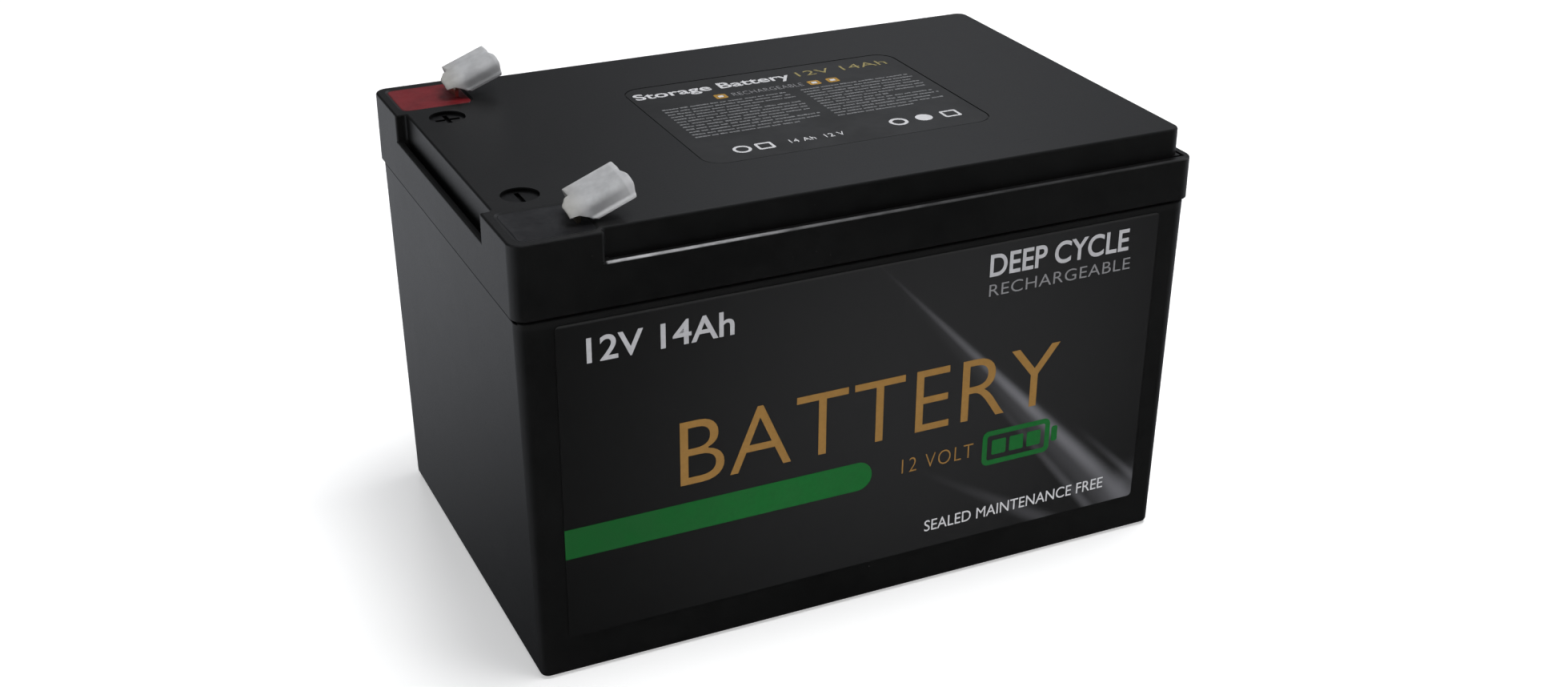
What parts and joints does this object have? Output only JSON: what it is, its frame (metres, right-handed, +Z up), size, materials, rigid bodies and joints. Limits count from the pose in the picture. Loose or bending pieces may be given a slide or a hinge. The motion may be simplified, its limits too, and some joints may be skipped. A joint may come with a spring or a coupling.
{
  "type": "deep cycle battery",
  "caption": "Sealed rectangular deep cycle battery with a stepped lid, labelled front and top, and two blade terminals in one end's corners, each under a slip-on cap.",
  "frame": {"origin": "centre of the foot, on the plane it stands on", "axes": "+Z up, +X along the length away from the terminals, -Y towards the labelled front face"},
  "size_m": [0.151, 0.098, 0.1054],
  "materials": {
    "case_black": "satin",
    "lid_black": "satin",
    "adhesive": "gloss",
    "terminal_metal": "satin",
    "resin_red": "gloss",
    "resin_black": "gloss",
    "cap_translucent": "satin",
    "label_front": "satin",
    "label_top": "satin",
    "cell_sleeve": "satin",
    "holder_plastic": "matte",
    "nickel": "satin",
    "insulating_board": "matte",
    "foam_tape": "matte",
    "circuit_board": "satin",
    "chip_black": "matte",
    "header_white": "satin",
    "lead_sense": "satin",
    "lead_red": "satin",
    "lead_black": "satin",
    "foam": "matte"
  },
  "bodies": {
    "battery": {"balance_header": "header_white", "balance_leads": "lead_sense", "balance_plug": "header_white", "board_tape": "foam_tape", "bottom_foam_pad": "foam", "case": "case_black", "cell_1": "cell_sleeve", "cell_2": "cell_sleeve", "cell_3": "cell_sleeve", "cell_4": "cell_sleeve", "cell_5": "cell_sleeve", "cell_6": "cell_sleeve", "cell_7": "cell_sleeve", "cell_8": "cell_sleeve", "control_chip": "chip_black", "front_foam_pad": "foam", "front_label": "label_front", "lid": "lid_black", "lid_adhesive": "adhesive", "lower_cell_holder": "holder_plastic", "lower_insulating_sheet": "insulating_board", "lower_link_strip_1": "nickel", "lower_link_strip_2": "nickel", "negative_lead": "lead_black", "negative_resin": "resin_black", "negative_terminal": "terminal_metal", "pack_negative_lead": "lead_black", "pack_negative_strip": "nickel", "pack_positive_strip": "nickel", "positive_lead": "lead_red", "positive_resin": "resin_red", "positive_terminal": "terminal_metal", "power_switches": "chip_black", "protection_board": "circuit_board", "rear_foam_pad": "foam", "shunt_resistors": "chip_black", "top_foam_pad": "foam", "top_label": "label_top", "upper_cell_holder": "holder_plastic", "upper_insulating_sheet": "insulating_board", "upper_link_strip": "nickel"},
    "positive_cap": {"positive_terminal_cap": "cap_translucent"},
    "negative_cap": {"negative_terminal_cap": "cap_translucent"}
  },
  "joints": [
    {"name": "positive_cap_pull", "type": "slide", "parent": "battery", "child": "positive_cap", "axis": [0.9272, 0, 0.3746], "range_m": [0, 0.014]},
    {"name": "negative_cap_pull", "type": "slide", "parent": "battery", "child": "negative_cap", "axis": [0.9272, 0, 0.3746], "range_m": [0, 0.014]}
  ]
}
